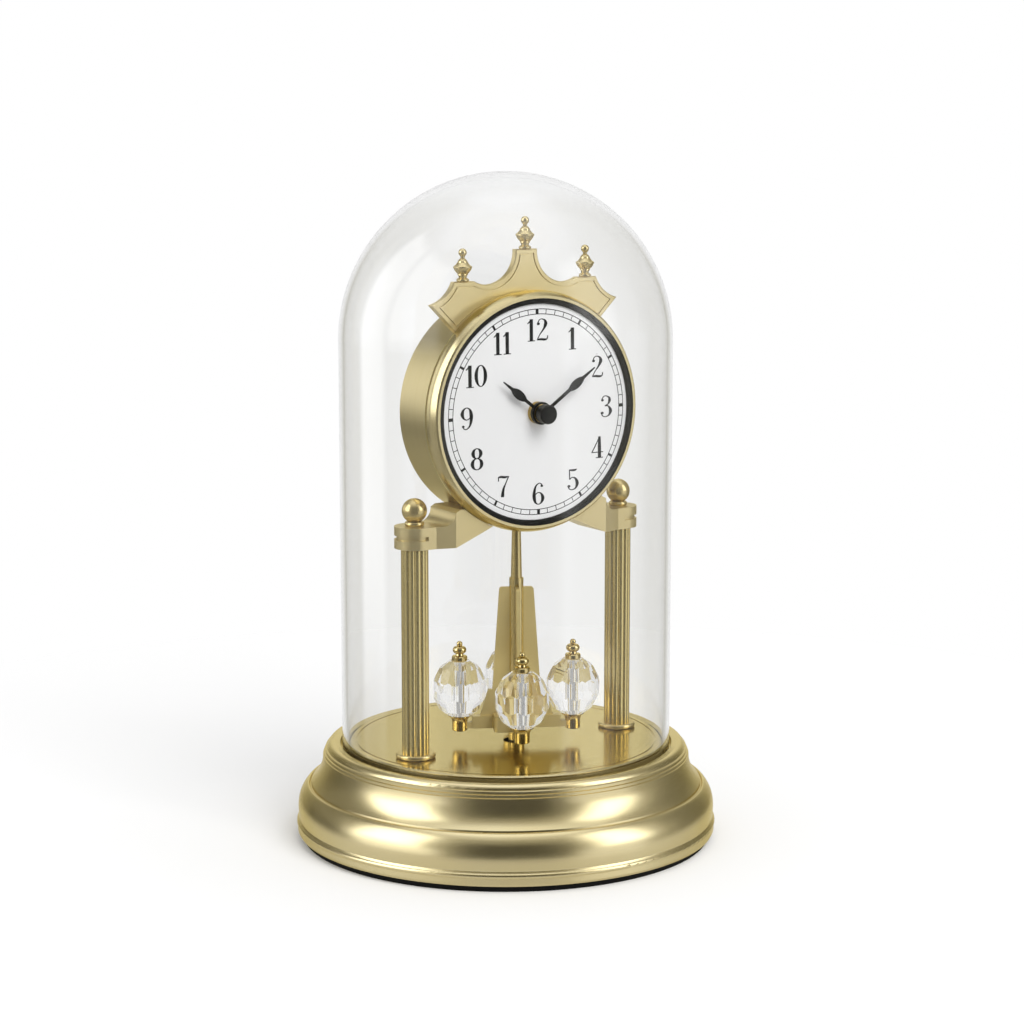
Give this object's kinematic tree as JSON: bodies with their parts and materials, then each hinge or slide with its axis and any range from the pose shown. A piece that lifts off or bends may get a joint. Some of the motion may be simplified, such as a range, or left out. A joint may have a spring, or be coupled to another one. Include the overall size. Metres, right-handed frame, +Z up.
{
  "type": "anniversary clock",
  "caption": "Desk clock under a glass dome: round white dial in a gold drum on fluted columns, over a turning pendulum with faceted balls, on a moulded round base.",
  "frame": {"origin": "centre of the foot pad's underside, on the surface that the clock stands on", "axes": "+Z up, the dial faces -Y, +X to the right seen from the front"},
  "size_m": [0.149, 0.149, 0.2342],
  "materials": {
    "base_gold": "satin champagne-gold plating, turned",
    "deck_gold": "brushed champagne-gold plating",
    "drum_gold": "brushed champagne-gold plating",
    "bezel_gold": "polished gold plating",
    "column_gold": "satin gold plating, fluted",
    "polished_brass": "polished",
    "finial_brass": "polished, turned",
    "satin_gold": "satin gold plating",
    "pendulum_gold": "satin gold plating",
    "tube_gold": "satin gold plating, drawn",
    "dome_glass": "clear, polished",
    "crystal_acrylic": "clear, faceted and polished",
    "dial_white": "matt white with black print",
    "pad_black": "matt",
    "gasket_black": "matt",
    "hand_black": "satin black",
    "movement_brass": "turned",
    "movement_black": "fine moulded grain",
    "plain_steel": "bright zinc plating",
    "battery_case": "plain wrap"
  },
  "bodies": {
    "base": {"base_shell": "base_gold", "foot_pad": "pad_black", "bottom_cover": "movement_black", "cover_screws": "plain_steel", "ballast": "plain_steel", "guide_cup": "movement_black", "deck_plate": "deck_gold", "left_column": "column_gold", "right_column": "column_gold", "column_flanges": "polished_brass", "tie_rods": "plain_steel", "tie_washers": "plain_steel", "tie_nuts": "plain_steel", "left_bracket": "satin_gold", "right_bracket": "satin_gold", "bracket_screws": "plain_steel", "ball_finials": "polished_brass", "drum_case": "drum_gold", "rear_cover": "drum_gold", "bezel": "bezel_gold", "gasket_ring": "gasket_black", "dial": "dial_white", "dial_nut": "movement_brass", "movement_housing": "movement_black", "battery": "battery_case", "battery_contacts": "plain_steel", "drive_unit": "movement_black", "crown": "satin_gold", "crown_finials": "finial_brass", "crown_screws": "plain_steel"},
    "dome": {"glass_dome": "dome_glass"},
    "minute_hand": {"minute_hand": "hand_black", "minute_arbor": "movement_brass", "hand_cap": "hand_black"},
    "hour_hand": {"hour_hand": "hand_black", "hour_tube": "movement_brass"},
    "set_knob": {"set_knob": "movement_black"},
    "pendulum": {"hanger": "tube_gold", "pendulum_rod": "tube_gold", "centre_tube": "tube_gold", "fins": "pendulum_gold", "arm_cross": "pendulum_gold", "balance_block": "pendulum_gold", "crystal_cups": "polished_brass", "crystals": "crystal_acrylic", "crystal_pins": "plain_steel", "crystal_finials": "polished_brass"}
  },
  "joints": [
    {"name": "dome_lift", "type": "slide", "parent": "base", "child": "dome", "axis": [0, 0, 1], "range_m": [0, 0.195]},
    {"name": "minute_hand_turn", "type": "hinge", "parent": "base", "child": "minute_hand", "pos_m": [0, -0.02, 0.15294], "axis": [0, 1, 0], "continuous": true},
    {"name": "hour_hand_turn", "type": "hinge", "parent": "base", "child": "hour_hand", "pos_m": [0, -0.02, 0.15294], "axis": [0, 1, 0], "continuous": true},
    {"name": "set_knob_turn", "type": "hinge", "parent": "base", "child": "set_knob", "pos_m": [0, -0.002, 0.16494], "axis": [0, 1, 0], "continuous": true},
    {"name": "pendulum_swing", "type": "hinge", "parent": "base", "child": "pendulum", "pos_m": [0, -0.007, 0.09], "axis": [0, 0, 1], "range_deg": [-180, 180]}
  ],
  "couplings": [
    {"joint": "hour_hand_turn", "follows": "minute_hand_turn", "ratio": 0.083333},
    {"joint": "set_knob_turn", "follows": "minute_hand_turn", "ratio": -1}
  ]
}
